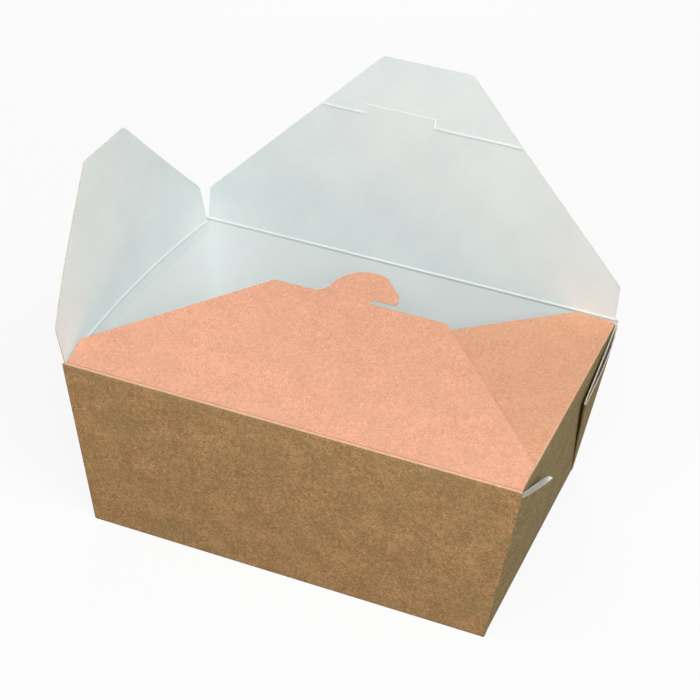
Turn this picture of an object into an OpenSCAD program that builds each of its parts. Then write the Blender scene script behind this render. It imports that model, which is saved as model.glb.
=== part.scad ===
// Folded takeaway box: a tapered tray with webbed corners and four top flaps,
// all creased from one sheet of coated kraft board.
// The origin is the middle of the underside, the front long side faces -Y.

/* [Board] */
// Thickness of the board
board = 0.45; // [0.35:0.05:0.7]
// Radius of the raised bead along a crease
crease_r = 0.4; // [0.35:0.05:0.6]
// Air left between flaps that pass or lie over each other
layer_gap = 0.3; // [0.2:0.05:0.6]

/* [Tray] */
// Length of the base, left to right
base_l = 197; // [150:1:240]
// Width of the base, front to back
base_w = 136; // [105:1:165]
// Length of the rim over the long walls
rim_l = 218; // [190:1:260]
// Width of the rim between the long walls' creases
rim_w = 147; // [125:1:175]
// Height of the long walls' creases above the underside
rim_h = 89; // [55:1:120]

/* [Corner webs] */
// Length of the diagonal fold of a corner web, from the base corner to its tip
web_fold = 78; // [55:1:84]
// Angle between the fold of a web and the corner that it starts from
web_angle = 32.5; // [28:0.5:40]
// Radius of the open loop at a web's tip
web_loop_r = 0.9; // [0.6:0.1:1.6]
// Distance of the front webs' loops from the end walls
front_web_off = 4.4; // [2.2:0.2:6]
// Distance of the back webs' loops from the end walls
back_web_off = 1.6; // [1.4:0.2:6]
// Radius of the fold where the web is pressed flat
web_fold_r = 0.32; // [0.3:0.02:0.45]

/* [Long flaps] */
// Length of a long flap's straight sides, before they slant
long_side = 17; // [10:1:24]
// Radius of the flaps' corners
flap_r = 1.6; // [0.5:0.1:3]
// Depth of the front flap from its crease to its straight edge
front_depth = 86.5; // [70:0.5:90]
// Width of the front flap's straight edge
front_edge = 86; // [70:1:110]
// Angle that the front flap stands up from closed
front_lift = 10; // [8:0.5:14]
// Depth of the back flap from its crease to its tip
back_depth = 104; // [90:1:110]
// Width of the back flap's tip
back_edge = 45; // [35:1:60]
// Angle that the back flap leans back from upright
back_lean = 6; // [0:0.5:20]
// Depth of the crease across the back flap
tuck_depth = 74.5; // [65:0.5:80]

/* [Short flaps] */
// Length of a short flap's straight sides, before they slant
short_side = 19; // [12:1:24]
// Depth of a short flap
short_depth = 76; // [60:1:80]
// Width of a short flap's tip
short_edge = 38; // [25:1:50]
// Angle that the left flap leans out from upright
left_lean = 13.5; // [0:0.5:25]
// Angle that the closed right flap stands up from level
right_lift = 3; // [0:0.5:4]

/* [Lock] */
// Radius of the round lock tab
tab_r = 17; // [13:0.5:20]
// Distance of the tab's centre past the front flap's straight edge
tab_out = 3.7; // [2:0.1:6]
// Angle on the tab's rim, from its hook, where the straight cut starts
tab_cut_from = 20; // [12:1:35]
// Angle on the tab's rim where the straight cut ends
tab_cut_to = 66; // [50:1:80]
// Radius of the hollow beside the tab
tab_hollow_r = 8; // [5:0.5:12]
// Width of the slot under the tab's hook
hook_slot_w = 3; // [2:0.2:4]
// Length of the slot under the tab's hook
hook_slot_l = 10.5; // [7:0.5:13]
// Distance of the slit past the back flap's crease
slit_out = 4.4; // [3:0.2:7]
// Length of the slit
slit_l = 36; // [28:1:42]
// Distance of the slit's notched end to the right of the middle
slit_end = 7.5; // [4:0.5:14]
// Width of the slit
slit_w = 0.5; // [0.3:0.1:0.8]

/* [Hidden] */
arc_steps = 10;
join = 0.1;
kraft = [0.80, 0.60, 0.42];
pink_kraft = [0.93, 0.70, 0.56];
white_side = [0.90, 0.92, 0.91];

// The walls' outward runs between base and rim, and their rise
long_run = (rim_w - base_w) / 2;
end_run = (rim_l - base_l) / 2;
rise = rim_h - board / 2;

// The two web layers and the end wall lie inside the long walls' ends
web_start = board / 2 - join;
wrap = web_start + 2 * web_fold_r + board / 2;
end_inset = wrap + board / 2;

// A flap starts clear of the bead that it turns around
flap_start = crease_r + layer_gap;

// The short creases lie lower, so that a short flap closes under the long ones
end_drop = board + layer_gap + short_side * sin(right_lift);
end_h = rim_h - end_drop;
end_share = (end_h - board / 2) / rise;
end_x = base_l / 2 - end_inset + end_run * end_share;
end_half = base_w / 2 + long_run * end_share;

// The long flaps pass between upright short flaps, the short flaps between the
// long walls' beads
long_half = end_x - board / 2 - layer_gap;
short_half = end_half - crease_r - layer_gap;

long_slant = norm([long_run, rise]);
end_slant = norm([end_run, rise]);

// Front right corner of the tray, from the base corner up the outer face of the
// end wall; the web ends below a short flap that is folded out over it
web_foot = [base_l / 2 - wrap, -base_w / 2, board / 2];
web_run = [end_run, -long_run, rise];
web_head = web_foot + web_run * (end_h - board - layer_gap - board / 2) / rise;
web_up = unit(web_run);
web_out = unit([rise, 0, -end_run]);
web_in = cross(web_up, web_out);
web_tip = web_foot + web_fold * (cos(web_angle) * web_up + sin(web_angle) * web_in);
web_edge = unit(web_tip - web_head);

function unit(v) = v / norm(v);

function arc(centre, r, from, to) =
    [for (i = [0:arc_steps]) let (a = from + (to - from) * i / arc_steps) centre + r * [cos(a), sin(a)]];

// Corner b of an outline, rounded between its neighbours a and c
function rounded(a, b, c, r) =
    let (p = unit(a - b), q = unit(c - b), half = acos(p * q) / 2,
         centre = b + unit(p + q) * r / sin(half),
         s = b + p * r / tan(half) - centre, e = b + q * r / tan(half) - centre,
         turn = 180 - 2 * half)
    [for (i = [0:arc_steps / 2]) let (f = 2 * i / arc_steps)
        centre + (sin((1 - f) * turn) * s + sin(f * turn) * e) / sin(turn)];

// Left half of a flap's outline: up its straight side and along its slant
function flap_half(half, start, side, depth, edge) =
    let (foot = [-half, start], knee = [-half, side], shoulder = [-edge / 2, depth])
    concat([foot], rounded(foot, knee, shoulder, flap_r),
           rounded(knee, shoulder, [0, depth], flap_r));

function mirrored(pts) = [for (i = [len(pts) - 1:-1:0]) [-pts[i][0], pts[i][1]]];

// Lays what is drawn in the XY plane onto the plane through p, with X along u
// and Y along v
module on_plane(p, u, v) {
    w = cross(u, v);
    multmatrix([[u[0], v[0], w[0], p[0]],
                [u[1], v[1], w[1], p[1]],
                [u[2], v[2], w[2], p[2]],
                [0, 0, 0, 1]]) children();
}

module sheet() {
    linear_extrude(board, center = true) children();
}

module bead(from, to, depth) {
    translate([from, depth, 0]) rotate([0, 90, 0]) cylinder(r = crease_r, h = to - from, $fn = 24);
}

module long_wall() {
    on_plane([0, -base_w / 2, board / 2], [1, 0, 0], unit([0, -long_run, rise])) {
        sheet() polygon([[-base_l / 2, -board], [base_l / 2, -board],
                         [rim_l / 2, long_slant], [-rim_l / 2, long_slant]]);
        bead(-rim_l / 2, rim_l / 2, long_slant);
    }
}

module end_wall() {
    top = end_slant * end_share;
    on_plane([base_l / 2 - end_inset, 0, board / 2], [0, 1, 0], unit([end_run, 0, rise])) {
        sheet() polygon([[-base_w / 2, -board], [base_w / 2, -board],
                         [end_half, top], [-end_half, top]]);
        bead(-end_half, end_half, top);
    }
}

// Section of the folded web at one height, as [point, direction out of the fold]
// pairs: along the inner layer, round the loop and back along the outer layer
function web_section(corner, tip, off, r) =
    concat([[corner + web_start * web_out, -web_out]],
           [for (i = [0:arc_steps]) let (a = 180 * i / arc_steps - 90,
                                        out = cos(a) * web_edge + sin(a) * web_out)
               [tip + off * web_out + r * out, out]],
           [[corner + (web_start + 2 * web_fold_r) * web_out, web_out]]);

function web_skin(section, side) = [for (s = section) s[0] + side * board / 2 * s[1]];

// The web is a cone of board: its folds all run through the base corner
module corner_web(off) {
    foot = web_section(web_foot, web_foot + board * web_edge, web_start + web_fold_r, web_fold_r);
    head = web_section(web_head, web_tip, off, web_loop_r);
    n = len(foot);
    strips = [[0, n], [3 * n, 2 * n], [n, 3 * n], [2 * n, 0]];
    polyhedron(
        points = concat(web_skin(foot, 1), web_skin(head, 1), web_skin(foot, -1), web_skin(head, -1)),
        faces = concat(
            [for (s = strips, i = [0:n - 2]) [s[0] + i, s[0] + i + 1, s[1] + i + 1]],
            [for (s = strips, i = [0:n - 2]) [s[0] + i, s[1] + i + 1, s[1] + i]],
            [[0, n, 3 * n], [0, 3 * n, 2 * n]],
            [[n - 1, 3 * n - 1, 4 * n - 1], [n - 1, 4 * n - 1, 2 * n - 1]]));
}

module short_flap_outline() {
    half = flap_half(short_half, flap_start, short_side, short_depth, short_edge);
    polygon(concat(half, mirrored(half)));
}

// Closed over the end wall, from its crease inwards
module right_flap() {
    on_plane([end_x, 0, end_h], [0, 1, 0], [-cos(right_lift), 0, sin(right_lift)]) {
        sheet() short_flap_outline();
        sheet() translate([-short_half, 0]) square([2 * short_half, flap_start + join]);
    }
}

module tray() color(kraft) {
    difference() {
        union() {
            translate([-base_l / 2 + end_inset, -base_w / 2, 0]) cube([base_l - 2 * end_inset, base_w, board]);
            for (m = [0, 1]) mirror([0, m, 0]) long_wall();
            for (m = [0, 1]) mirror([m, 0, 0]) end_wall();
            for (m = [0, 1]) mirror([m, 0, 0]) {
                corner_web(front_web_off);
                mirror([0, 1, 0]) corner_web(back_web_off);
            }
        }
        translate([-rim_l, -rim_w, -rim_h]) cube([2 * rim_l, 2 * rim_w, rim_h]);
    }
    right_flap();
}

// Round tab with a hollow on its left, and on its right a straight cut above a
// hooked slot
function tab_outline() =
    let (centre = [0, front_depth + tab_out], hollow_v = front_depth + tab_hollow_r,
         reach = tab_r + tab_hollow_r, dv = tab_hollow_r - tab_out, du = sqrt(reach * reach - dv * dv),
         meet = atan2(dv, du), slot_v = front_depth + hook_slot_w / 2,
         nose = asin((hook_slot_w - tab_out) / tab_r),
         slot_u = tab_r * cos(nose) - hook_slot_l)
    concat(arc([-du, hollow_v], tab_hollow_r, -90, -meet),
           arc(centre, tab_r, 180 - meet, tab_cut_to),
           arc(centre, tab_r, tab_cut_from, nose),
           arc([slot_u, slot_v], hook_slot_w / 2, 90, 270));

module front_flap() color(pink_kraft) {
    half = flap_half(long_half, flap_start, long_side, front_depth, front_edge);
    on_plane([0, -rim_w / 2, rim_h], [1, 0, 0], [0, cos(front_lift), sin(front_lift)])
        sheet() polygon(concat(half, tab_outline(), mirrored(half)));
}

module back_flap() color(white_side) {
    half = flap_half(long_half, flap_start, long_side, back_depth, back_edge);
    crease_share = (tuck_depth - long_side) / (back_depth - long_side);
    crease_half = long_half - (long_half - back_edge / 2) * crease_share;
    slit_left = slit_end - slit_l;
    slit_v = tuck_depth + slit_out;
    on_plane([0, rim_w / 2, rim_h], [1, 0, 0], [0, sin(back_lean), cos(back_lean)]) {
        difference() {
            sheet() polygon(concat(half, mirrored(half)));
            linear_extrude(4 * board, center = true) {
                translate([slit_left, slit_v]) square([slit_l, slit_w]);
                translate([slit_end - slit_w, tuck_depth]) square([slit_w, slit_out + slit_w]);
            }
        }
        bead(-crease_half + crease_r, slit_left, tuck_depth);
        bead(slit_end + crease_r, crease_half - crease_r, tuck_depth);
    }
}

module left_flap() color(white_side) {
    on_plane([-end_x, 0, end_h], [0, 1, 0], [-sin(left_lean), 0, cos(left_lean)])
        sheet() short_flap_outline();
}

tray();
front_flap();
back_flap();
left_flap();
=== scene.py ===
import math
import bpy
import numpy as np
from mathutils import Matrix, Vector


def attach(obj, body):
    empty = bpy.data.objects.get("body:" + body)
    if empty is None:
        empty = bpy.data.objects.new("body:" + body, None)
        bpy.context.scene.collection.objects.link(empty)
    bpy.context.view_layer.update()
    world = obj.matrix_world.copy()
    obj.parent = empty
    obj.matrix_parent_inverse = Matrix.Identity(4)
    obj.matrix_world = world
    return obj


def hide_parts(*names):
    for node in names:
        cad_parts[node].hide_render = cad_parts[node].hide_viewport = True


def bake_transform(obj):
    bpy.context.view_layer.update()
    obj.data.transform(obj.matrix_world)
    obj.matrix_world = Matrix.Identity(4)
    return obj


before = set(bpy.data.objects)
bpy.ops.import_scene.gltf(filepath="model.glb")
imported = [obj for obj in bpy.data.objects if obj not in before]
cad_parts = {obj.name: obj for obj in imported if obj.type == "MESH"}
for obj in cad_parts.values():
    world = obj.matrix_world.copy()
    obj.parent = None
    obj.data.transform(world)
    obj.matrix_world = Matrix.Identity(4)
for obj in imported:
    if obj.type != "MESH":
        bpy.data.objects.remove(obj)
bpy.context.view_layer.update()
print("frame loaded")

mm = 0.001
weldStep, weldShift = 0.002, 0.237      # grid that finds points in one place, and its shift in steps
slots = {"white": 1, "edge": 2, "lid": 3}       # of a piece's materials; the walls' kraft is 0

# the folded tray as the frame has it, in millimetres
carton = {
    "board": 0.45,
    "baseLength": 197.0,
    "baseWidth": 136.0,
    "rimLength": 218.0,
    "rimWidth": 147.0,
    "rimHeight": 89.0,
    "endInset": 1.215,       # middle of an end wall behind the long walls' ends
    "endDrop": 1.744,        # short creases lie this much below the long ones
    "longHalf": 107.054,     # half length of a long flap at its crease
    "shortHalf": 72.692,
    "longCreaseAt": 156.945,     # distances of the creases from the middle of the flat sheet
    "shortCreaseAt": 184.923,
    "gridStep": 3.2,
}


def unit(v):
    v = np.asarray(v, float)
    return v / np.linalg.norm(v)


def lerp(a, b, t):
    return a + (b - a) * t


# smooth step from 0 at low to 1 at high
def ease(x, low, high):
    t = np.clip((x - low) / (high - low), 0, 1)
    return t * t * (3 - 2 * t)


# evenly spaced values from a to b, about one grid step apart
def spaced(a, b, step=None):
    return np.linspace(a, b, max(2, int(abs(b - a) / (step or carton["gridStep"])) + 1))


# runs of values one after another, without repeats
def joined(*runs):
    values = np.concatenate([np.atleast_1d(r) for r in runs]).astype(float)
    return values[np.concatenate([[True], np.abs(np.diff(values)) > 1e-4])]


# points from coordinates that spread out against each other
def stacked(*coordinates):
    return np.stack(np.broadcast_arrays(*coordinates), -1)


# Position across a crease, s millimetres from it: straight up the wall, an arc that touches both
# lines, straight along the flap. Each bump (height, place, width) is a bell curve towards the white side.
def foldPath(s, wallWay, flapWay, wallIn, reach, bumps=()):
    turn = math.acos(float(np.clip(np.dot(wallWay, flapWay), -1, 1)))
    side = unit(flapWay - np.dot(flapWay, wallWay) * wallWay)
    radius = reach / math.tan(turn / 2)
    q = (np.clip((s + reach) / (2 * reach), 0, 1) * turn)[..., None]
    arc = -reach * wallWay + radius * (np.sin(q) * wallWay + (1 - np.cos(q)) * side)
    straight = np.where(s[..., None] < 0, wallWay, flapWay) * s[..., None]
    inward = np.sign(np.dot(side, wallIn)) * (np.cos(q) * side - np.sin(q) * wallWay)
    path = np.where(np.abs(s[..., None]) < reach, arc, straight)
    push = sum((height * np.exp(-((s - place) / width) ** 2) for height, place, width in bumps), 0 * s)
    return path + inward * push[..., None]


# Joins grids of points into one sheet and gives it the board's thickness: the kraft skin is
# point + normal * half, the white skin point - normal * half, both divided by the cosine at a fold,
# and a strip closes every free edge. Column step x row step points to the kraft side. A patch's "lid"
# says, row by row, which cells are a flap's.
def boardPiece(name, patches, materials):
    points = np.concatenate([p["at"].reshape(-1, 3) for p in patches])
    flat = np.concatenate([p["flat"].reshape(-1, 2) for p in patches])
    start, corners, outside = 0, [], []
    for p in patches:
        rows, columns = p["at"].shape[:2]
        index = start + np.arange(rows * columns).reshape(rows, columns)
        cells = np.stack([index[:-1, :-1], index[:-1, 1:], index[1:, 1:], index[1:, :-1]], -1)
        keep = p.get("keep", np.ones(cells.shape[:2], bool))
        corners.append(cells[keep])
        side = np.reshape(p.get("lid", 0), (-1, 1)) * slots["lid"]
        outside.append(np.broadcast_to(side, keep.shape)[keep])
        start += rows * columns
    corners, outside = np.concatenate(corners), np.concatenate(outside)
    key = np.round(points / weldStep + weldShift).astype(np.int64)
    _, first, weld = np.unique(key, axis=0, return_index=True, return_inverse=True)
    used, faces = np.unique(weld.reshape(-1)[corners], return_inverse=True)
    faces = faces.reshape(-1, 4)
    spot = points[first][used]
    a, b, c, d = (spot[faces[:, k]] for k in range(4))
    facing = np.cross(c - a, d - b)
    whole = np.linalg.norm(facing, axis=1) > 1e-9
    faces, corners, facing, outside = faces[whole], corners[whole], facing[whole], outside[whole]
    facing /= np.linalg.norm(facing, axis=1, keepdims=True)
    lean, share, count = np.zeros_like(spot), np.zeros(len(spot)), np.zeros(len(spot))
    for k in range(4):
        np.add.at(lean, faces[:, k], facing)
    lean /= np.maximum(np.linalg.norm(lean, axis=1, keepdims=True), 1e-9)
    for k in range(4):
        np.add.at(share, faces[:, k], (lean[faces[:, k]] * facing).sum(1))
        np.add.at(count, faces[:, k], 1)
    half = carton["board"] / 2 / np.maximum(share / np.maximum(count, 1), 0.5)
    total = len(spot)
    verts = np.concatenate([spot + lean * half[:, None], spot - lean * half[:, None]]) * mm
    ends = np.concatenate([np.stack([faces[:, k], faces[:, (k + 1) % 4]], 1) for k in range(4)])
    marks = np.concatenate([np.stack([corners[:, k], corners[:, (k + 1) % 4]], 1) for k in range(4)])
    edgeKey = np.sort(ends, axis=1) @ np.array([total * 2, 1])
    _, back, times = np.unique(edgeKey, return_inverse=True, return_counts=True)
    free = times[back.reshape(-1)] == 1
    rim, rimMark = ends[free], marks[free]
    strip = np.stack([rim[:, 1], rim[:, 0], rim[:, 0] + total, rim[:, 1] + total], 1)
    allFaces = np.concatenate([faces, faces[:, ::-1] + total, strip])
    allMarks = np.concatenate([corners, corners[:, ::-1],
                               np.stack([rimMark[:, 1], rimMark[:, 0], rimMark[:, 0], rimMark[:, 1]], 1)])
    mesh = bpy.data.meshes.new(name)
    mesh.from_pydata(verts.tolist(), [], allFaces.tolist())
    layer = mesh.uv_layers.new(name="flatSheet")
    layer.data.foreach_set("uv", (flat[allMarks.reshape(-1)] * mm).astype(np.float32).reshape(-1))
    others = np.repeat([slots["white"], slots["edge"]], [len(faces), len(strip)])
    kind = np.concatenate([outside, others])
    mesh.polygons.foreach_set("material_index", kind.astype(np.int32))
    mesh.polygons.foreach_set("use_smooth", np.ones(len(kind), bool))
    pairs = np.zeros(len(mesh.edges) * 2, np.int32)
    mesh.edges.foreach_get("vertices", pairs)
    pairs = np.sort(pairs.reshape(-1, 2), axis=1).astype(np.int64)
    sharpKeys = np.sort(rim, axis=1) @ np.array([total * 4, 1])
    sharpKeys = np.concatenate([sharpKeys, (np.sort(rim, axis=1) + total) @ np.array([total * 4, 1])])
    sharp = mesh.attributes.new("sharp_edge", "BOOLEAN", "EDGE")
    sharp.data.foreach_set("value", np.isin(pairs @ np.array([total * 4, 1]), sharpKeys))
    for material in materials:
        mesh.materials.append(material)
    mesh.update()
    piece = bpy.data.objects.new(name, mesh)
    bpy.context.scene.collection.objects.link(piece)
    print("made", name, "with", len(mesh.polygons), "faces")
    return piece


# Shader maths: a wrapped socket whose operators add Math nodes
class Wire:
    def __init__(self, shade, socket):
        self.shade, self.socket = shade, socket

    def math(self, operation, other=None, flipped=False):
        pair = [self] if other is None else ([other, self] if flipped else [self, other])
        return self.shade.node("Math", {"operation": operation}, dict(enumerate(pair)))

    def __add__(self, other):
        return self.math("ADD", other)

    def __radd__(self, other):
        return self.math("ADD", other, True)

    def __sub__(self, other):
        return self.math("SUBTRACT", other)

    def __rsub__(self, other):
        return self.math("SUBTRACT", other, True)

    def __mul__(self, other):
        return self.math("MULTIPLY", other)

    def __rmul__(self, other):
        return self.math("MULTIPLY", other, True)

    def clamped(self, low=0.0, high=1.0, toLow=0.0, toHigh=1.0):
        return self.shade.node("MapRange", {"clamp": True}, {0: self, 1: low, 2: high, 3: toLow, 4: toHigh})


class Shade:
    def __init__(self, name):
        self.material = bpy.data.materials.new(name)
        self.material.use_nodes = True
        self.tree = self.material.node_tree
        self.tree.nodes.clear()

    # any node: its type, its settings, which are set first, and its sockets' values or links
    def node(self, kind, settings=None, sockets=None, out=0):
        made = self.tree.nodes.new("ShaderNode" + kind)
        for key, value in (settings or {}).items():
            setattr(made, key, value)
        for key, value in (sockets or {}).items():
            target = made.inputs[key]
            if isinstance(value, Wire):
                self.tree.links.new(value.socket, target)
            elif isinstance(value, tuple) and target.type == "RGBA":
                target.default_value = (*value, 1)
            else:
                target.default_value = value
        return Wire(self, made.outputs[out]) if made.outputs else None

    # colour a where the factor is 0, b or its blend with a where it is 1
    def mixed(self, factor, a, b, blend="MIX"):
        return self.node("Mix", {"data_type": "RGBA", "blend_type": blend}, {0: factor, 6: a, 7: b}, out=2)

    def stretched(self, place, x, y, z=1.0):
        return self.node("VectorMath", {"operation": "MULTIPLY"}, {0: place, 1: (x, y, z)})

    # turned by an angle in degrees, then so many waves to the metre along and across
    def turned(self, place, angle, along, across):
        return self.node("Mapping", {"vector_type": "TEXTURE"}, {
            "Vector": place, "Rotation": (0, 0, math.radians(angle)), "Scale": (1 / along, 1 / across, 1)})

    def noise(self, place, scale, detail=3.0, roughness=0.55, distortion=0.0):
        return self.node("TexNoise", {}, {"Vector": place, "Scale": scale, "Detail": detail,
                                          "Roughness": roughness, "Distortion": distortion})

    # 1 on the four creases of the flaps, fading to 0 between the two distances in metres
    def creaseLines(self, place, near, far):
        lines = []
        for axis, reach in ((0, carton["shortCreaseAt"]), (1, carton["longCreaseAt"])):
            along = self.node("SeparateXYZ", {}, {0: place}, out=axis)
            lines.append((along.math("ABSOLUTE") - reach * mm).math("ABSOLUTE"))
        return lines[0].math("MINIMUM", lines[1]).clamped(near, far, 1.0, 0.0)

    def finish(self, shader):
        self.node("OutputMaterial", {}, {"Surface": shader})
        return self.material


# uncoated kraft side: brown pulp in cloudy patches, pale and dark fibres that lie in all directions
kraftLook = {
    "light": (0.755, 0.425, 0.178),
    "deep": (0.405, 0.215, 0.084),
    "olive": (0.47, 0.305, 0.125),
    "pale": (0.88, 0.63, 0.36),
    "fleck": (0.18, 0.085, 0.032),
    "contrast": 1.12,
    "ends": (0.66, 0.84, 0.82),      # painted shade: the end panels, short flaps and webs made darker and greener, multiplied in
    "roughness": 0.8,
}
# painted light: the upward-facing lid cells of the flaps take a lighter, pinker, more even copy of the same
# board, for the top light that falls on them; the walls keep the shaded copy
litLidLook = {
    "light": (0.955, 0.482, 0.315),
    "deep": (0.735, 0.336, 0.205),
    "olive": (0.80, 0.418, 0.263),
    "pale": (0.97, 0.63, 0.44),
    "fleck": (0.45, 0.225, 0.124),
    "contrast": 0.8,
    # painted shade: where the end tint reaches the closed right flap, it turns a little darker and yellower
    "ends": (0.965, 0.985, 0.92),
    "roughness": 0.76,
}
# marks on the flat sheet, in metres from its middle: where the end panels begin, their half width,
# where the short flaps and the webs are, which take the painted shade, and the score line past a long
# crease, painted as a dark shadow line
sheetMarks = {
    "endFrom": (0.0972, 0.0978),
    "endHalf": (0.074, 0.076),
    "flapsAndWebs": (0.19, 0.20),
    "scoreShadow": (carton["longCreaseAt"] + 1.05) * mm,
}


def kraftSide(name, look):
    s = Shade(name)
    place = s.node("UVMap", {"uv_map": "flatSheet"})
    clouds = s.noise(place, 42, 3, 0.55)
    drift = s.noise(place, 85, 2, 0.5)
    patches = s.noise(place, 300, 3, 0.6)
    grain = s.noise(place, 1500, 3, 0.75)
    fibres = [s.noise(s.turned(place, angle, 380, 2000), 1.0, 2, 0.6, 0.5) for angle in (8, 67, 128)]
    woven = fibres[0] + fibres[1] + fibres[2]
    tone = (drift - 0.5) * 1.1 + (patches - 0.5) * 1.15 + (grain - 0.5) * 3.2 + (woven - 1.5) * 1.6
    color = s.mixed((tone * look["contrast"] + 0.5).clamped(), look["light"], look["deep"])
    color = s.mixed(clouds.clamped(0.40, 0.68, 0.0, 0.5), color, look["olive"])
    sheetX = s.node("SeparateXYZ", {}, {0: place}, out=0).math("ABSOLUTE")
    sheetY = s.node("SeparateXYZ", {}, {0: place}, out=1).math("ABSOLUTE")
    # painted shade: the end panels, short flaps and webs take the darker, greener tint for the shade they
    # stand in
    onEnd = sheetX.clamped(*sheetMarks["endFrom"]) * sheetY.clamped(*sheetMarks["endHalf"], 1.0, 0.0)
    shadedPanels = onEnd.math("MAXIMUM", sheetX.clamped(*sheetMarks["flapsAndWebs"]))
    color = s.mixed(shadedPanels, color, look["ends"], "MULTIPLY")
    strands = fibres[0].math("MINIMUM", fibres[1]).math("MINIMUM", fibres[2])
    color = s.mixed(strands.clamped(0.40, 0.27, 0.0, 0.7), color, look["pale"])
    # painted highlight: a pale line along the four creases, broken up by the grain, for the light that
    # catches their rounded folds
    creaseHighlight = s.creaseLines(place, 0.0003, 0.0007) * grain.clamped(0.3, 0.6, 0.2, 0.5)
    color = s.mixed(creaseHighlight, color, look["pale"])
    # painted shadow: a thin dark line along the score groove past each long crease
    scoreShadow = (sheetY - sheetMarks["scoreShadow"]).math("ABSOLUTE")
    color = s.mixed(scoreShadow.clamped(0.0001, 0.0004, 0.5, 0.0), color, look["fleck"])
    flecks = s.noise(s.turned(place, 35, 800, 2100), 1.0, 1, 0.5).clamped(0.68, 0.76, 0.0, 0.55)
    color = s.mixed(flecks, color, look["fleck"])
    height = woven * 0.3 + grain * 0.5 + s.noise(place, 5200, 2, 0.7) * 0.25
    bump = s.node("Bump", {}, {"Strength": 0.35, "Distance": 0.00014, "Height": height})
    rough = (grain * 0.16 + patches * 0.1) + (look["roughness"] - 0.13)
    shader = s.node("BsdfPrincipled", {}, {
        "Base Color": color, "Roughness": rough, "Normal": bump, "Specular IOR Level": 0.3})
    return s.finish(shader)


# coated white side: smooth and cool with a faint cloudiness, the paper's grain and a soft sheen
whiteLook = {
    "light": (0.895, 0.965, 0.945),
    "shade": (0.845, 0.915, 0.91),
    "roughness": 0.5,
}


def whiteSide(name, look):
    s = Shade(name)
    place = s.node("UVMap", {"uv_map": "flatSheet"})
    clouds = s.noise(place, 36, 3, 0.5)
    grain = s.noise(place, 2600, 2, 0.6)
    fibres = s.noise(s.stretched(place, 260, 1300), 1.0, 2, 0.5)
    color = s.mixed((clouds * 0.7 + fibres * 0.3).clamped(0.38, 0.62), look["light"], look["shade"])
    height = grain * 0.4 + fibres * 0.6
    bump = s.node("Bump", {}, {"Strength": 0.12, "Distance": 0.0001, "Height": height})
    rough = clouds * 0.12 + (look["roughness"] - 0.06)
    shader = s.node("BsdfPrincipled", {}, {
        "Base Color": color, "Roughness": rough, "Normal": bump, "Specular IOR Level": 0.35})
    return s.finish(shader)


# die-cut edge: cream pulp between the two sides
edgeLook = {"light": (0.84, 0.74, 0.60), "deep": (0.66, 0.50, 0.35), "roughness": 0.85}


def cutEdge(name, look):
    s = Shade(name)
    place = s.node("UVMap", {"uv_map": "flatSheet"})
    color = s.mixed(s.noise(place, 900, 2, 0.6).clamped(0.35, 0.7), look["light"], look["deep"])
    shader = s.node("BsdfPrincipled", {}, {"Base Color": color, "Roughness": look["roughness"]})
    return s.finish(shader)


# the coat inside the tray, painted lighter than the rest of the white side for the light bounced round
# inside it
bounceLitInsideLook = {
    "light": (0.94, 0.98, 0.965),
    "shade": (0.91, 0.955, 0.95),
    "roughness": 0.5,
}
boardSides = [kraftSide("kraftWalls", kraftLook), whiteSide("whiteCoat", whiteLook),
              cutEdge("cutEdge", edgeLook), kraftSide("kraftLidLit", litLidLook)]
traySides = [boardSides[0], whiteSide("whiteInsideLit", bounceLitInsideLook)] + boardSides[2:]
print("materials made")

# places that the tray's walls share
rise = carton["rimHeight"] - carton["board"] / 2
longRun = (carton["rimWidth"] - carton["baseWidth"]) / 2
endRun = (carton["rimLength"] - carton["baseLength"]) / 2
endHeight = carton["rimHeight"] - carton["endDrop"]
endShare = (endHeight - carton["board"] / 2) / rise
baseEnd = carton["baseLength"] / 2 - carton["endInset"]
baseSide = carton["baseWidth"] / 2
floorLevel = carton["board"] / 2
creaseX = baseEnd + endRun * endShare
cornerUp = unit([endRun, -longRun, rise])
cornerOut = unit([rise, 0, -endRun])
cornerIn = np.cross(cornerUp, cornerOut)
longSlant = math.hypot(longRun, rise)
endSlant = math.hypot(endRun, rise)
cornerRun = np.array([endRun, -longRun, rise])      # from a front corner's foot up to the rim
acrossLong = joined(-1, -0.9955, spaced(-0.98, 0.98, 0.03), 0.9955, 1)      # shares of a half width
acrossEnd = joined(-1, -0.994, spaced(-0.97, 0.97, 0.045), 0.994, 1)

# how the webs are folded
webFold = {
    "reach": 78.0,           # length and angle of the diagonal fold
    "angle": 32.5,
    "headDrop": 2.5,         # free edge starts this much below the long crease
    # how far the loop at the fold stands off the wall, its radius, how far each layer bulges between
    # corner and tip, and how far both stand out there together
    "front": {"off": 4.4, "loop": 1.0, "belly": 0.6, "arch": 0.0},
    "back": {"off": 2.4, "loop": 0.36, "belly": 0.62, "arch": 0.8},
    "outerRoot": 0.99,       # outer layer off the end wall's plane at the corner
    "hairpin": 0.27,         # radius of the turn into the end wall, and how far in from the corner it is
    "hairpinIn": 0.55,
    "footOff": 0.765,        # middle of the outer loop off the wall at the foot, before footShare
    "footLoop": 0.225,       # radius of that loop, before footShare
    "footShare": 0.3,        # the layers' spacing at the foot against that at the head
    "footReach": 0.4,        # from the corner to the loop at the foot
    # the web's own place on the flat sheet: its start, its scale along, its depth and how that tapers
    "onSheet": {"from": 300, "along": 0.8, "deep": 86.0, "taper": 0.5},
}
foot = np.array([baseEnd, -baseSide, floorLevel])
headShare = (carton["rimHeight"] - webFold["headDrop"] - floorLevel) / rise
head = foot + headShare * cornerRun
leftStrip = 7.0      # half width of the strip over the left crease, wide because it is bowed
leftWallTop = (endShare - leftStrip / endSlant) / headShare
webRows = joined(0, 0.006, np.linspace(0.02, leftWallTop, 26), 1.0)


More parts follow.
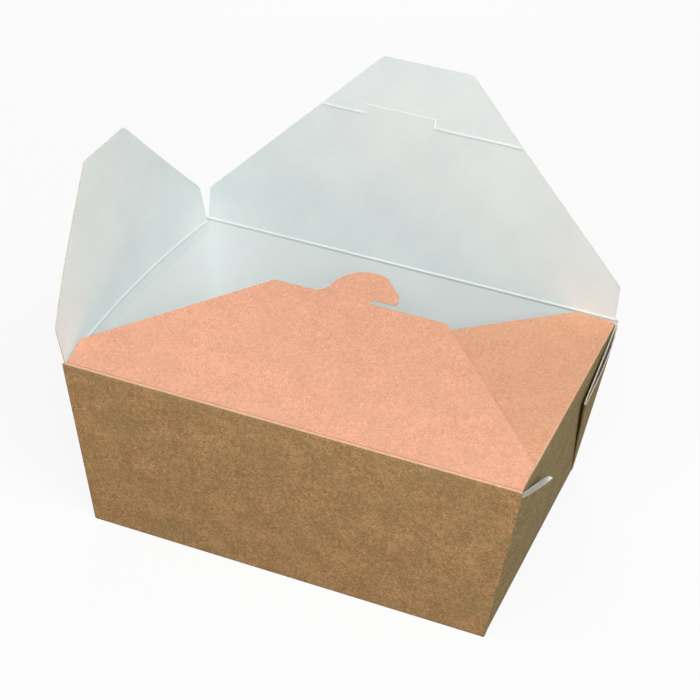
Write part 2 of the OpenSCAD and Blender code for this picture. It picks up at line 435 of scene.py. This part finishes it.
# the same patch at another corner or end, its columns turned round where it would face inwards
def mirrored(patch, flipX, flipY):
    at = patch["at"] * np.array([-1 if flipX else 1, -1 if flipY else 1, 1])
    flat = patch["flat"] * np.array([-1 if flipX else 1, -1 if flipY else 1])
    if flipX != flipY:
        at, flat = at[:, ::-1], flat[:, ::-1]
    return {"at": at, "flat": flat}


leftBow = 4.5        # how far the left wall bulges at its middle


# Bulge of the left wall: the bow, times 1 - (y / half width) squared, times a power of the height's
# share. The webs that lie on the wall take the same shift, so they stay outside it.
def bulge(y, z):
    share = np.clip((z - floorLevel) / (endHeight - floorLevel), 0, 1)
    across = np.clip(y / (baseSide + longRun * endShare * share), -1, 1)
    return leftBow * (1 - across ** 2) * share ** 1.5


def bulged(patch):
    at = patch["at"]
    shift = bulge(at[..., 1], at[..., 2])
    return {"at": at - stacked(shift, 0, 0), "flat": patch["flat"]}


# Section of a web at the height of corner: out from the long wall's end along the outer layer,
# half a circle round the loop, back along the inner layer, half a circle into the end wall's side.
# Between them the layers bulge apart by the belly, a parabola that leans towards the corner.
def webSection(corner, tip, off, loop, belly, arch, scale=1.0):
    f = webFold
    outer = corner + cornerOut * f["outerRoot"] * scale
    inner = corner + cornerOut * 2 * f["hairpin"] * scale + cornerIn * f["hairpinIn"]
    edge = unit(tip - corner)
    turn = np.radians(np.linspace(90, -90, 13))[:, None]
    bend = tip + cornerOut * off + loop * (np.cos(turn) * edge + np.sin(turn) * cornerOut)
    back = np.radians(np.linspace(90, 270, 6))[:, None]
    pin = corner + cornerOut * f["hairpin"] * scale + cornerIn * f["hairpinIn"]
    pin = pin + f["hairpin"] * scale * (np.cos(back) * cornerIn + np.sin(back) * cornerOut)
    way = joined(0, 0.012, np.linspace(0.05, 1, 22))[:, None]
    lean = way ** 0.7
    lift, apart = arch * 4 * lean * (1 - lean), belly * 4 * lean * (1 - lean)
    there = lerp(outer, bend[0], way) + (lift + apart) * cornerOut
    home = (lerp(inner, bend[-1], way) + (lift - apart) * cornerOut)[::-1]
    return np.concatenate([there[:-1], bend, home[1:-1], pin])


# Corner web: every point lies on the line from the foot's section to the head's section. On the flat
# sheet it has a place of its own, past the short flaps, clear of the crease lines.
def cornerWeb(off, loop, belly, arch):
    f = webFold
    angle = math.radians(f["angle"])
    tip = foot + f["reach"] * (math.cos(angle) * cornerUp + math.sin(angle) * cornerIn)
    footOff, footLoop = f["footOff"] * f["footShare"], f["footLoop"] * f["footShare"]
    footTip = foot + f["footReach"] * unit(tip - head)
    low = webSection(foot, footTip, footOff, footLoop, 0.0, 0.0, f["footShare"])
    high = webSection(head, tip, off, loop, belly, arch)
    at = low + webRows[:, None, None] * (high - low)
    run = np.concatenate([[0], np.cumsum(np.linalg.norm(np.diff(high, axis=0), axis=1))])
    sheet = f["onSheet"]
    flat = stacked(sheet["from"] + webRows[:, None] * run * sheet["along"],
                   -baseSide - webRows[:, None] * (sheet["deep"] - run * sheet["taper"]))
    return {"at": at, "flat": flat}


# The two long walls and the base between them: one strip of rows down the back wall, across the base
# and up the front wall, each row straight from its left end to its right end
def longWallsAndBase(creaseGap):
    shares = joined(webRows[1:] * headShare, 1 - creaseGap / longSlant)
    stand = webFold["outerRoot"] * lerp(webFold["footShare"], 1, np.minimum(shares / headShare, 1))
    wallEnd = (foot + shares[:, None] * cornerRun + stand[:, None] * cornerOut)[:, None]
    front = stacked(wallEnd[..., 0] * acrossLong, wallEnd[..., 1], wallEnd[..., 2])
    frontFlat = stacked(front[..., 0], -baseSide - shares[:, None] * longSlant)
    base = stacked(baseEnd * acrossLong, baseSide * acrossEnd[::-1, None], floorLevel)
    return {"at": np.concatenate([(front * [1, -1, 1])[::-1], base, front]),
            "flat": np.concatenate([(frontFlat * [1, -1])[::-1], base[..., :2], frontFlat])}


# An end wall: rows straight across between the inner layers of its two webs
def endWall(shares):
    side = foot + shares[:, None] * cornerRun + cornerIn * webFold["hairpinIn"]
    side[shares == 0] = foot
    at = stacked(side[:, None, 0], -side[:, None, 1] * acrossEnd, side[:, None, 2])
    return {"at": at, "flat": stacked(baseEnd + shares[:, None] * endSlant, at[..., 1])}


# Half width of a flap at depth v: straight sides, slants, both corners rounded by easing the two
# lines into each other
def slantedHalf(v, half, side, depth, edge, soft=1.2):
    line = half - (half - edge / 2) * (v - side) / (depth - side)
    knee = np.minimum(half, line)
    blend = np.clip(0.5 + (line - half) / (2 * soft), 0, 1)
    width = lerp(line, half, blend) - soft * blend * (1 - blend)
    top = np.clip((v - (depth - soft)) / soft, 0, 1)
    corner = soft * (1 - np.sqrt(np.clip(1 - top ** 2, 0, 1)))
    return np.where(np.abs(line - half) < soft, width, knee) - corner


# rows from a flap's crease to its edge, closer together at the knee and at the edge
def flapRows(first, second, f):
    return joined(first, spaced(second, f["side"] - 2), spaced(f["side"] - 1, f["side"] + 1, 0.5),
                  spaced(f["side"] + 2, f["depth"] - 2.5), np.linspace(f["depth"] - 1.2, f["depth"], 6))


rightFlap = {"side": 19.0, "depth": 76.0, "edge": 38.0, "lift": 3.0, "foldReach": 0.55}


# Right end wall's top and the closed flap: rows over the rounded crease and inwards, each straight
# across, its half width eased from the wall's to the flap's
def rightFlapPatch():
    f = rightFlap
    lift = math.radians(f["lift"])
    s = joined(-(endShare - headShare) * endSlant, np.linspace(-f["foldReach"], f["foldReach"], 7),
               1.0, flapRows(1.6, 2.6, f))
    path = foldPath(s, unit([endRun, 0, rise]), np.array([-math.cos(lift), 0, math.sin(lift)]),
                    np.array([-1.0, 0, 0]), f["foldReach"])
    wallHalf = baseSide + longRun * headShare - webFold["hairpinIn"]
    half = np.where(s <= 0, lerp(wallHalf, carton["shortHalf"], np.clip(1 + s / 0.5, 0, 1)),
                    slantedHalf(s, carton["shortHalf"], f["side"], f["depth"], f["edge"]))
    x, z = creaseX + path[:, 0], endHeight + path[:, 2]
    wallTop = head + cornerIn * webFold["hairpinIn"]      # the first row is the wall's last
    x[0], half[0], z[0] = wallTop[0], -wallTop[1], wallTop[2]
    at = stacked(x[:, None], half[:, None] * acrossEnd, z[:, None])
    flat = stacked(baseEnd + endShare * endSlant + s[:, None], at[..., 1])
    return {"at": at, "flat": flat, "lid": s[1:] > 0}


creaseStrip = 1.2        # half width of the strips over the long creases

frontWeb, backWeb = cornerWeb(**webFold["front"]), cornerWeb(**webFold["back"])
wallShares = webRows * headShare
trayBoard = boardPiece("trayBoard", [
    longWallsAndBase(creaseStrip),
    endWall(wallShares),
    rightFlapPatch(),
    bulged(mirrored(endWall(wallShares[:-1]), True, False)),
    frontWeb,
    mirrored(backWeb, False, True),
    bulged(mirrored(frontWeb, True, False)),
    bulged(mirrored(backWeb, True, True)),
], traySides)
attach(trayBoard, "tray")
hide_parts("tray")

# the flaps' outlines, depths measured from their creases, and how they stand
frontFlap = {
    "side": 17.0, "depth": 86.5, "edge": 86.0, "lift": 10.0,
    "tabRadius": 17.0, "tabOut": 3.7, "hollow": 8.0, "slotWidth": 3.0, "slotLength": 10.5,
    "cutFrom": 20.0, "cutTo": 66.0,      # the tab's straight cut, as angles on its rim
    "rightMore": 1.3,        # the lid reaches this much further over the closed flap's end
    "leftMore": 1.8,         # and this much further on the left, beside the bulged flap
}
backFlap = {
    "side": 17.0, "depth": 104.0, "edge": 45.0, "lean": 6.0,
    "tuck": 74.5, "slitOut": 4.4, "slitLength": 36.0, "slitEnd": 7.5, "slitWidth": 0.5,
    "notchWidth": 0.9,
    "tipLean": 3.0,          # the tip leans back by this, but not the strip below the slit
    "beadHigh": 0.3,         # the ridge that the tuck crease presses up on the white side
    "beadWide": 0.5,
}
leftFlap = {"side": 19.0, "depth": 76.0, "edge": 38.0, "lean": 13.5}


# Middle of each open flap's board, s millimetres past its crease: the fold path from the wall's lean to
# the flap's, moved to the crease, with the bead that the crease presses up on the white side
def frontSheet(s):
    lift = math.radians(frontFlap["lift"])
    path = foldPath(s, unit([0, -longRun, rise]), np.array([0, math.cos(lift), math.sin(lift)]),
                    np.array([0, 1.0, 0]), 0.5, ((-0.12, -0.1, 0.4), (0.13, 0.7, 0.25)))
    return path + np.array([0, -carton["rimWidth"] / 2, carton["rimHeight"]])


def backSheet(s):
    lean = math.radians(backFlap["lean"])
    path = foldPath(s, unit([0, longRun, rise]), np.array([0, math.sin(lean), math.cos(lean)]),
                    np.array([0, -1.0, 0]), 0.6, ((0.34, 0.0, 0.55),))
    return path + np.array([0, carton["rimWidth"] / 2, carton["rimHeight"]])


def leftSheet(s):
    lean = math.radians(leftFlap["lean"])
    path = foldPath(s, unit([-endRun, 0, rise]), np.array([-math.sin(lean), 0, math.cos(lean)]),
                    np.array([1.0, 0, 0]), 0.6, ((0.34, 0.0, 0.55),))
    return path + np.array([-creaseX, 0, endHeight])


# Strip over a long crease: rows along the fold path, each as wide as the wall below and the flap above
def longCrease(name, sheet, body, flipY):
    s = joined(-creaseStrip, np.linspace(-0.9, 0.9, 19), creaseStrip)
    wallHalf = baseEnd + endRun + cornerOut[0] * webFold["outerRoot"]
    past = ease(s, -0.1, 0.9)
    half = lerp(wallHalf, carton["longHalf"], past)
    path = sheet(s)[:, None]
    more = frontFlap["rightMore"] * past * (body == "front_flap")
    x = half[:, None] * acrossLong + more[:, None] * np.clip(acrossLong, 0, 1)
    at = stacked(x, path[..., 1], path[..., 2])
    flat = stacked(at[..., 0], -baseSide - longSlant - s[:, None])
    if flipY:
        at, flat = at[:, ::-1], flat[:, ::-1] * [1, -1]
    lid = (s[1:] > 0) & (body == "front_flap")
    piece = boardPiece(name, [{"at": at, "flat": flat, "lid": lid}], boardSides)
    # points a little inside the strip where a bend between the wall and the flap would start and end;
    # nothing uses them
    bendStart, bendEnd = sheet(np.array([0.25 - creaseStrip, creaseStrip - 0.25])) * mm
    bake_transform(piece)
    return piece


longCrease("frontCreaseBoard", frontSheet, "front_flap", False)
longCrease("backCreaseBoard", backSheet, "back_flap", True)


# Columns between side lines that run over all the rows: so many even steps from each line to the next
def columnsBetween(sides, counts):
    steps = [lerp(a[:, None], b[:, None], np.arange(n) / n) for a, b, n in zip(sides, sides[1:], counts)]
    return np.concatenate(steps + [sides[-1][:, None]], 1)


# Front flap: rows over its depth, three blocks of columns; past the straight edge only the middle
# block goes on into the tab, and above the slot the right block starts again as the hook
def frontFlapBoard():
    f = frontFlap
    centre = f["depth"] + f["tabOut"]
    hollowX = -math.sqrt((f["tabRadius"] + f["hollow"]) ** 2 - (f["hollow"] - f["tabOut"]) ** 2)
    hollowV = f["depth"] + f["hollow"]
    meet = hollowV - f["hollow"] * (f["hollow"] - f["tabOut"]) / (f["tabRadius"] + f["hollow"])
    slotHalf = f["slotWidth"] / 2
    slotTop = f["depth"] + f["slotWidth"]
    nose = math.sqrt(f["tabRadius"] ** 2 - (slotTop - centre) ** 2)
    slotX = nose - f["slotLength"]
    crown = centre + f["tabRadius"]
    cutAngle = np.radians([f["cutFrom"], f["cutTo"]])
    cutX, cutV = f["tabRadius"] * np.cos(cutAngle), centre + f["tabRadius"] * np.sin(cutAngle)

    slot = f["depth"] + slotHalf * (1 - np.cos(np.linspace(0, math.pi, 13)))
    rounded = crown - (crown - meet) * (1 - np.sin(np.linspace(0, math.pi / 2, 30)))
    tab = joined(np.linspace(slotTop, meet, 6), rounded)
    tab = joined(np.sort(np.concatenate([tab, cutV])))
    tab[-1] = crown - 0.004
    v = joined(flapRows(creaseStrip, 2.6, f), slot, tab)
    onLid = v <= f["depth"] + 1e-6

    vTab = np.maximum(v, f["depth"])
    hollowSide = hollowX + np.sqrt(np.clip(f["hollow"] ** 2 - (hollowV - vTab) ** 2, 0, None))
    circle = np.sqrt(np.clip(f["tabRadius"] ** 2 - (vTab - centre) ** 2, 0, None))
    tabLeft = np.where(v <= meet, hollowSide, -circle)
    tabRight = np.where((v > cutV[0]) & (v < cutV[1]), np.interp(v, cutV, cutX), circle)
    leftAtSlot = np.interp(slotTop, v, tabLeft)
    slotEnd = np.sqrt(np.clip(slotHalf ** 2 - (v - f["depth"] - slotHalf) ** 2, 0, None)) * (v > f["depth"])
    split = np.where(v < slotTop - 1e-6, slotX - slotEnd,
                     lerp(tabLeft, tabRight, (slotX - leftAtSlot) / (nose - leftAtSlot)))

    half = slantedHalf(np.minimum(v, f["depth"]), carton["longHalf"], f["side"], f["depth"], f["edge"])
    near = np.clip((half - f["edge"] / 2) / (carton["longHalf"] - f["edge"] / 2), 0, 1)
    wider = f["leftMore"] * near * np.clip((v - creaseStrip) / f["side"], 0, 1)
    sides = [np.where(onLid, -half - wider, tabLeft), tabLeft, split,
             np.where(onLid, half + f["rightMore"] * near, tabRight)]
    counts = (25, 14, 29)
    x = columnsBetween(sides, counts)
    block = np.repeat([0, 1, 2], counts)
    belowEdge, pastSlot = onLid[1:, None], v[:-1, None] >= slotTop - 1e-6
    keep = np.where(block == 0, belowEdge, (block == 1) | belowEdge | pastSlot)
    path = frontSheet(v)[:, None]
    at = stacked(x, path[..., 1], path[..., 2])
    flat = stacked(x, -baseSide - longSlant - v[:, None])
    return boardPiece("frontFlapBoard", [{"at": at, "flat": flat, "keep": keep, "lid": True}], boardSides)


# Back flap: rows over its depth, four blocks of columns with the slit and its notch left out, a bead
# on the white side along the two lengths of the tuck crease
def backFlapBoard():
    f = backFlap
    slitLow = f["tuck"] + f["slitOut"]
    slitHigh = slitLow + f["slitWidth"]
    slitLeft, slitRight = f["slitEnd"] - f["slitLength"], f["slitEnd"]
    aboutTuck = f["tuck"] + np.array([-1.5, -1, -0.75, -0.5, -0.25, 0, 0.25, 0.5, 0.75, 1, 1.5, 2.5])
    v = joined(creaseStrip, spaced(2.6, f["side"] - 2), spaced(f["side"] - 1, f["side"] + 1, 0.5),
               spaced(f["side"] + 2, f["tuck"] - 2), aboutTuck, slitLow - 1, slitLow,
               slitHigh, slitHigh + 1, spaced(slitHigh + 3, f["depth"] - 2.5),
               np.linspace(f["depth"] - 1.2, f["depth"], 6))
    half = slantedHalf(v, carton["longHalf"], f["side"], f["depth"], f["edge"])
    squeeze = np.where(v > slitHigh, half / np.interp(slitHigh, v, half), 1.0)
    sides = [-half, slitLeft * squeeze, (slitRight - f["notchWidth"]) * squeeze, slitRight * squeeze, half]
    counts = (24, 16, 2, 30)
    x = columnsBetween(sides, counts)
    block = np.repeat([0, 1, 2, 3], counts)
    below, above = v[:-1, None], v[1:, None]
    inSlit = (below >= slitLow - 1e-6) & (above <= slitHigh + 1e-6)
    inNotch = (below >= f["tuck"] - 1e-6) & (above <= slitHigh + 1e-6)
    keep = ~(((block == 1) & inSlit) | ((block == 2) & inNotch))
    lean, tipLean = math.radians(f["lean"]), math.radians(f["tipLean"])
    inward = np.array([0, -math.cos(lean), math.sin(lean)])
    creased = 1 - ease(x, slitLeft - 0.6, slitLeft) * (1 - ease(x, slitRight, slitRight + 0.3))
    bead = f["beadHigh"] * np.exp(-((v[:, None] - f["tuck"]) / f["beadWide"]) ** 2) * creased
    strip = ease(x, slitLeft - 2, slitLeft + 5) * (x < slitRight - 1e-3) * (v[:, None] <= slitLow + 1e-6)
    fallen = np.maximum(v - f["tuck"], 0)[:, None] * math.sin(tipLean) * (1 - strip)
    path = backSheet(v)[:, None]
    at = stacked(x, path[..., 1], path[..., 2]) + (bead - fallen)[..., None] * inward
    flat = stacked(x, baseSide + longSlant + v[:, None])
    return boardPiece("backFlapBoard", [{"at": at[:, ::-1], "flat": flat[:, ::-1], "keep": keep[:, ::-1]}],
                      boardSides)


# Left flap and its crease strip: rows over the depth, bulged as the wall is, less towards the tip
def leftRows(s):
    f = leftFlap
    wallHalf = baseSide + longRun * np.minimum(endShare + s / endSlant, headShare) - webFold["hairpinIn"]
    half = np.where(s <= 0, lerp(wallHalf, carton["shortHalf"], np.clip(1 + s / 0.5, 0, 1)),
                    slantedHalf(s, carton["shortHalf"], f["side"], f["depth"], f["edge"]))
    y = half[:, None] * acrossEnd[::-1]
    path = leftSheet(s)[:, None]
    bow = bulge(y, path[..., 2]) * (1 - np.clip(s / f["depth"], 0, 1)[:, None]) ** 1.2
    at = stacked(path[..., 0] - bow, y, path[..., 2])
    return {"at": at, "flat": stacked(-baseEnd - endShare * endSlant - s[:, None], y)}


leftOver = joined(np.linspace(-leftStrip, -1.2, 11), np.linspace(-0.9, 0.9, 19),
                  np.linspace(1.2, leftStrip, 11))
leftCrease = boardPiece("leftCreaseBoard", [leftRows(leftOver)], boardSides)
# where a bend would start, above the strip's lower edge because the bow brings that edge nearer to it, and
# where it would end; nothing uses them
bendStart, bendEnd = leftSheet(np.array([0.9 - leftStrip, leftStrip - 0.1])) * mm
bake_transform(leftCrease)
leftPast = flapRows(leftStrip, leftStrip + 1, leftFlap)
leftBoard = boardPiece("leftFlapBoard", [leftRows(leftPast)], boardSides)
flapBoards = {"front_flap": frontFlapBoard(), "back_flap": backFlapBoard(), "left_flap": leftBoard}
for body, piece in flapBoards.items():
    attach(piece, body)
    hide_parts(body)
print("flaps made")

# camera fitted to the photograph: place in millimetres, angles in degrees, 36 mm sensor
view = {"place": (260.6, -691.7, 579.5), "azimuth": 20.57, "elevation": 33.83, "roll": 3.14, "lens": 98.676}


def makeCamera():
    data = bpy.data.cameras.new("photoCamera")
    data.lens, data.sensor_width, data.clip_end = view["lens"], 36, 20
    camera = bpy.data.objects.new("photoCamera", data)
    bpy.context.scene.collection.objects.link(camera)
    az, el = math.radians(view["azimuth"]), math.radians(view["elevation"])
    look = Vector((-math.sin(az) * math.cos(el), math.cos(az) * math.cos(el), -math.sin(el)))
    turned = look.to_track_quat("-Z", "Y").to_matrix() @ Matrix.Rotation(math.radians(view["roll"]), 3, "Z")
    camera.matrix_world = Matrix.Translation(Vector(view["place"]) * mm) @ turned.to_4x4()
    bpy.context.scene.camera = camera


studio = {
    "sky": 0.13,             # strength of the sky that lights the object
    "floorBounce": 0.28,     # grey of the floor for light that the object gets back from it
    "floorGlow": 0.88,       # share of the floor's white that shadows don't touch
    "lamps": [
        # name, place in metres, size in metres, power in watts
        ("overhead", (0.04, -0.40, 0.68), 0.5, 1.65),
        ("rightFront", (0.35, -0.50, 0.65), 0.5, 2.4),
        ("farRight", (0.64, -0.28, 1.15), 0.6, 4.8),
        ("lowLeft", (-0.55, -0.45, 0.30), 0.4, 0.5),
        ("behind", (-0.45, 1.05, 0.50), 0.6, 5.5),
    ],
}


# square lamps that all face the box
def makeLamps():
    for name, place, size, power in studio["lamps"]:
        data = bpy.data.lights.new(name, "AREA")
        data.shape, data.size, data.energy = "SQUARE", size, power
        lamp = bpy.data.objects.new(name, data)
        bpy.context.scene.collection.objects.link(lamp)
        lamp.location = place
        lamp.rotation_euler = (Vector((0, 0, 0.05)) - Vector(place)).to_track_quat("-Z", "Y").to_euler()


# white where the camera, a reflection or a clear piece shows it, dim for everything else
def makeSky():
    world = bpy.data.worlds.new("studioSky")
    bpy.context.scene.world = world
    world.use_nodes = True
    tree = world.node_tree
    tree.nodes.clear()
    rays = tree.nodes.new("ShaderNodeLightPath")
    near, seen = tree.nodes.new("ShaderNodeMath"), tree.nodes.new("ShaderNodeMath")
    near.operation = seen.operation = "MAXIMUM"
    tree.links.new(rays.outputs["Is Camera Ray"], near.inputs[0])
    tree.links.new(rays.outputs["Is Glossy Ray"], near.inputs[1])
    tree.links.new(near.outputs[0], seen.inputs[0])
    tree.links.new(rays.outputs["Is Transmission Ray"], seen.inputs[1])
    dim, white, mix = (tree.nodes.new("ShaderNode" + k) for k in ("Background", "Background", "MixShader"))
    dim.inputs[0].default_value, dim.inputs[1].default_value = (0.95, 0.98, 1, 1), studio["sky"]
    white.inputs[0].default_value, white.inputs[1].default_value = (1, 1, 1, 1), 1.0
    tree.links.new(seen.outputs[0], mix.inputs[0])
    tree.links.new(dim.outputs[0], mix.inputs[1])
    tree.links.new(white.outputs[0], mix.inputs[2])
    out = tree.nodes.new("ShaderNodeOutputWorld")
    tree.links.new(mix.outputs[0], out.inputs[0])


# a floor that is mostly white where it is seen and keeps the shadow, and is grey to the box otherwise
def makeFloor():
    mesh = bpy.data.meshes.new("studioFloor")
    mesh.from_pydata([(-6, -6, 0), (6, -6, 0), (6, 6, 0), (-6, 6, 0)], [], [(0, 1, 2, 3)])
    floor = bpy.data.objects.new("studioFloor", mesh)
    bpy.context.scene.collection.objects.link(floor)
    s = Shade("paleFloor")
    paper = s.node("BsdfDiffuse", {}, {"Color": (0.9, 0.9, 0.9)})
    dull = s.node("BsdfDiffuse", {}, {"Color": (studio["floorBounce"],) * 3})
    glow = s.node("Emission", {}, {"Color": (1, 1, 1), "Strength": 1.0})
    rayKinds = ("Is Camera Ray", "Is Glossy Ray", "Is Transmission Ray")
    camera, glossy, through = (s.node("LightPath", out=kind) for kind in rayKinds)
    seen = camera.math("MAXIMUM", glossy).math("MAXIMUM", through)
    lit = s.node("MixShader", {}, {0: studio["floorGlow"], 1: paper, 2: glow})
    mesh.materials.append(s.finish(s.node("MixShader", {}, {0: seen, 1: dull, 2: lit})))


makeCamera()
makeLamps()
makeSky()
makeFloor()
bpy.context.scene.view_settings.view_transform = "Standard"
